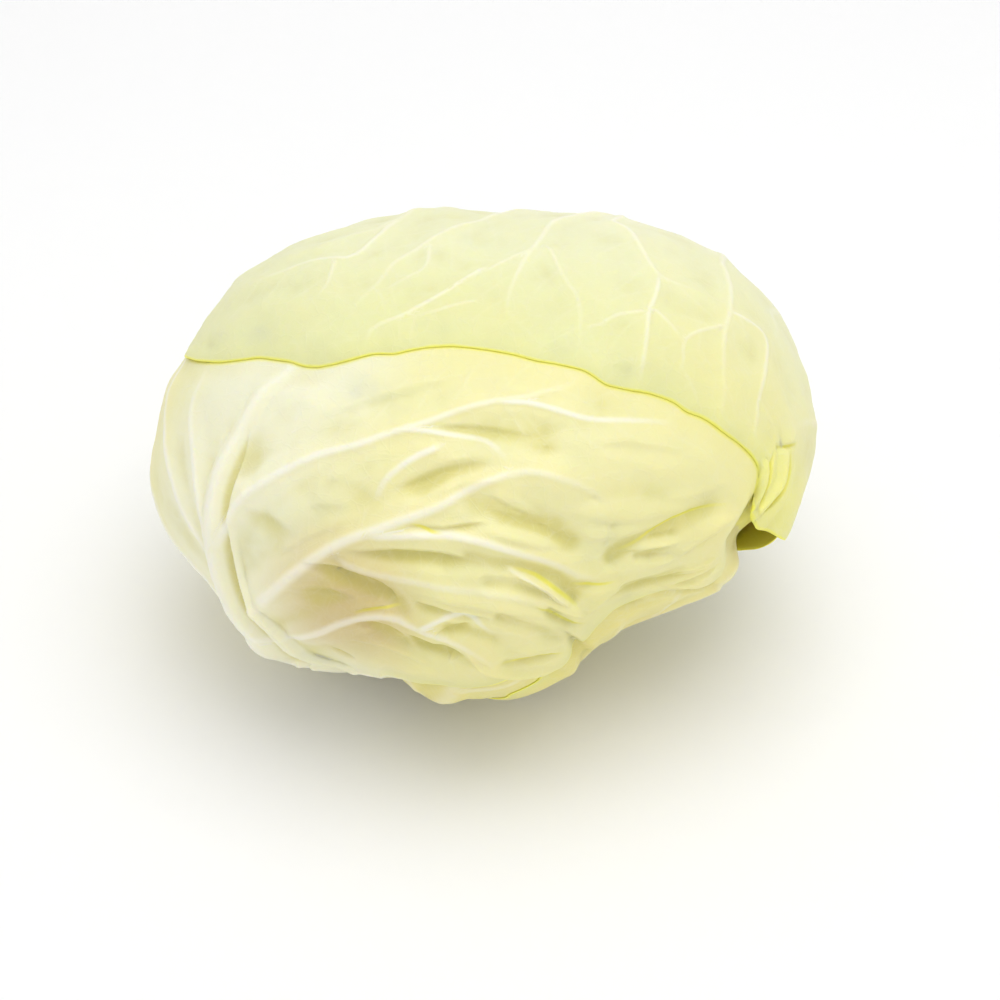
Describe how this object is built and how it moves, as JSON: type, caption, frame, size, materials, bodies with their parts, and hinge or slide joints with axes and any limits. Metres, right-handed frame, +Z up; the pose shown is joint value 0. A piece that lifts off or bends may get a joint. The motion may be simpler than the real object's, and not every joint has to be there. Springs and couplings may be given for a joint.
{
  "type": "head of cabbage",
  "caption": "Flat round head of green cabbage: wrapper leaves with ribs and folds laid over one another round a dense heart on a cut stem.",
  "frame": {"origin": "middle of the head's bounding box, at the height of the small flat spot that it rests on", "axes": "+X to the right and +Y to the back as the head is seen from the front, +Z up; the head is widest along X and lowest along Z"},
  "size_m": [0.2302, 0.1958, 0.149],
  "materials": {
    "crown_blade": "waxy pale green leaf, smooth with fine paler veins",
    "front_blade": "pale yellow-green leaf, silky, with near-white ribs and soft folds",
    "under_blade": "pale yellow-green leaf with cream ribs",
    "heart_flesh": "cream yellow tightly folded inner leaves",
    "stem_flesh": "cream stem with a dry, slightly browned cut face"
  },
  "bodies": {
    "root": {"crown_leaf": "crown_blade", "front_leaf": "front_blade", "right_leaf": "under_blade", "left_leaf": "under_blade", "lower_leaf": "under_blade", "heart": "heart_flesh", "stem": "stem_flesh"}
  },
  "joints": []
}
